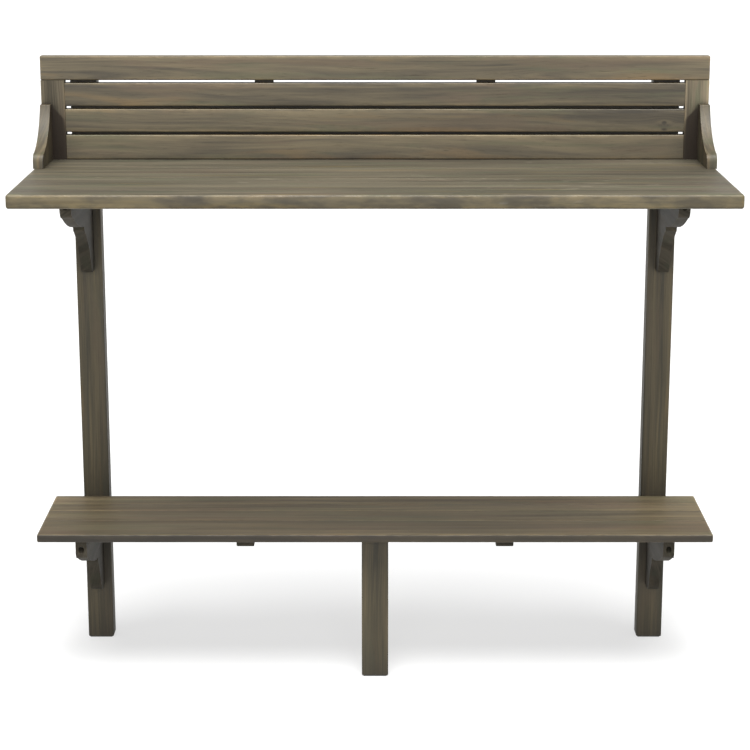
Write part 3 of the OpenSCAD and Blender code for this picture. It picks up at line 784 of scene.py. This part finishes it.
# Painted light: the shelf boards' tones rise from front to rear against the shade under the tabletop
SHELF_BOARDS = {
    "shelf_board_front": ((SHELF_EDGE, OPEN_SEAM, OPEN_SEAM, SHELF_EDGE), 0.85, SHELF_FRONT),
    "shelf_board_second": ((OPEN_SEAM, GLUED_SEAM, GLUED_SEAM, OPEN_SEAM), 1.08, PLAIN),
    "shelf_board_third": ((GLUED_SEAM,) * 4, 1.26, PLAIN),
    "shelf_board_rear": ((GLUED_SEAM, SHELF_EDGE, SHELF_EDGE, GLUED_SEAM), 1.60, PLAIN),
}
# Direction, edge radius, end radius and tone; the tones partly hold painted light, matched under this
# scene's lights
PANEL_BOARDS = {
    "panel_top_rail": ("X", 2.6, 2.0, 1.13),
    "panel_slat_upper": ("X", 2.4, 0.5, 0.98),
    "panel_slat_middle": ("X", 2.4, 0.5, 0.95),
    "panel_slat_lower": ("X", 2.4, 0.5, 1.18),
    # Painted light: the right stile is much lighter than the left
    "panel_stile_left": ("Z", 0.8, 0.3, 1.20),
    "panel_stile_right": ("Z", 0.8, 0.3, 1.86),
}
# How far in front of a bracket's rear the screw up into it passes through a board, in millimetres
BRACKET_SCREW_SETBACKS = {"top_board_third": 78.0, "top_board_rear": 28.0}

KNOT_BOARD = "panel_slat_middle"
KNOT_SHARES = (0.9677, 0.35)
KNOT_RADIUS = 5.0 * MM

knot_seed = PANEL_SEED + list(PANEL_BOARDS).index(KNOT_BOARD)
knot = knot_place(KNOT_BOARD, knot_seed, KNOT_SHARES, KNOT_RADIUS)
# The stiles' wood carries the side brackets' painted shadows and deep painted corner shade
stile = wood("stile_wood", "stile", nook=STILE_NOOK, bracket=True)
tabletop = wood("tabletop_wood", "tabletop", scuffs=0.55)
panel = wood("panel_wood", "panel", knots=[knot])
shelf = wood("shelf_wood", "shelf")

bracket_middle = (BRACKET_LOW.x + BRACKET_HIGH.x) / 2
for seed, (node, (radii, tone, front)) in enumerate(TOP_BOARDS.items(), TOP_SEED):
    low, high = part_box(node)
    piece = board(node + "_worn", low, high, mm(radii), TOP_END * MM, seed, tone=tone, front=front)
    if node in BRACKET_SCREW_SETBACKS:
        y = BRACKET_HIGH.y - BRACKET_SCREW_SETBACKS[node] * MM
        drill(piece, [(side * bracket_middle, y, low.z) for side in (-1, 1)])
    finish_wood(piece, tabletop, node)

for seed, (node, (radii, tone, front)) in enumerate(SHELF_BOARDS.items(), SHELF_SEED):
    low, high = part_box(node)
    piece = board(node + "_worn", low, high, mm(radii), SHELF_END * MM, seed, tone=tone, front=front)
    finish_wood(piece, shelf, node)

for seed, (node, (along, radius, end_radius, tone)) in enumerate(PANEL_BOARDS.items(), PANEL_SEED):
    low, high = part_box(node)
    piece = board(node + "_worn", low, high, mm((radius,) * 4), end_radius * MM, seed, along, tone)
    finish_wood(piece, panel if along == "X" else stile, node)


# ---------------------------------------------------------------- CAD pieces that stay


def dress(node, material, ease):
    """Gives a CAD node its material, and eases its sharp edges by that many millimetres."""
    piece = nodes[node]
    piece.data.materials.clear()
    piece.data.materials.append(material)
    weld = piece.modifiers.new("weld", "WELD")
    weld.merge_threshold = 0.01 * MM
    bevel = piece.modifiers.new("ease", "BEVEL")
    bevel.width = ease * MM
    bevel.segments = 3
    bevel.limit_method = "ANGLE"
    bevel.angle_limit = math.radians(40.0)
    shading = piece.modifiers.new("shading", "WEIGHTED_NORMAL")
    shading.weight = 100


# How far the arrises of each kind of piece are eased, in millimetres
WOOD_EASE = 0.8
DOWEL_EASE = 0.3
STEEL_EASE = 0.2

POSTS = ("rear_post_left", "rear_post_right", "front_leg")
TABLE_CORBELS = ("table_corbel_left", "table_corbel_right")
SHELF_CORBELS = ("shelf_corbel_left", "shelf_corbel_right")
SIDE_BRACKETS = ("side_bracket_left", "side_bracket_right")
SHELF_CLEATS = ("shelf_cleat_left", "shelf_cleat_right")
TOP_CLEATS = ("top_cleat_left", "top_cleat_centre", "top_cleat_right")
DOWELS = ("top_dowels", "shelf_dowels", "panel_dowels", "frame_dowels")

# Slot, look, grain axis, nook shade, ease, whether painted darker low down, and the CAD nodes that share
# them
DRESSED = (
    ("frame_wood", "frame", "Z", UNDER_TOP_NOOK, WOOD_EASE, True, POSTS),
    ("frame_wood", "corbel", "Y", UNDER_TOP_NOOK, WOOD_EASE, False, TABLE_CORBELS),
    ("frame_wood", "corbel", "Y", NOOK, WOOD_EASE, False, SHELF_CORBELS),
    ("frame_wood", "frame", "X", NOOK, WOOD_EASE, False, ("table_apron", "shelf_stretcher")),
    ("panel_wood", "panel", "Z", BRACKET_NOOK, WOOD_EASE, False, SIDE_BRACKETS),
    ("cleat_wood", "frame", "Z", NOOK, WOOD_EASE, False, ("panel_batten_left", "panel_batten_right")),
    ("cleat_wood", "frame", "X", NOOK, WOOD_EASE, False, ("back_rail", "front_leg_block")),
    ("cleat_wood", "frame", "Y", NOOK, WOOD_EASE, False, TOP_CLEATS),
    ("cleat_wood", "corbel", "Y", NOOK, WOOD_EASE, False, SHELF_CLEATS),
    ("dowel_wood", "dowel", "X", NOOK, DOWEL_EASE, False, DOWELS),
)
for slot, look, axis, nook, ease, shaded_low, names in DRESSED:
    material = wood(f"{names[0]}_wood", look, axis, nook=nook, shaded_low=shaded_low)
    for node in names:
        dress(node, material, ease)

STEEL = (
    "corbel_bolts",
    "corbel_bolt_washers",
    "corbel_barrel_nuts",
    "corbel_nose_screws",
    "front_leg_bolts",
    "front_leg_washers",
    "front_leg_inserts",
    "panel_screws",
    "batten_screws",
    "rail_screws",
    "bracket_screws",
    "cleat_screws",
    "leg_block_screws",
)
steel = zinc("steel_fittings")
for node in STEEL:
    dress(node, steel, STEEL_EASE)
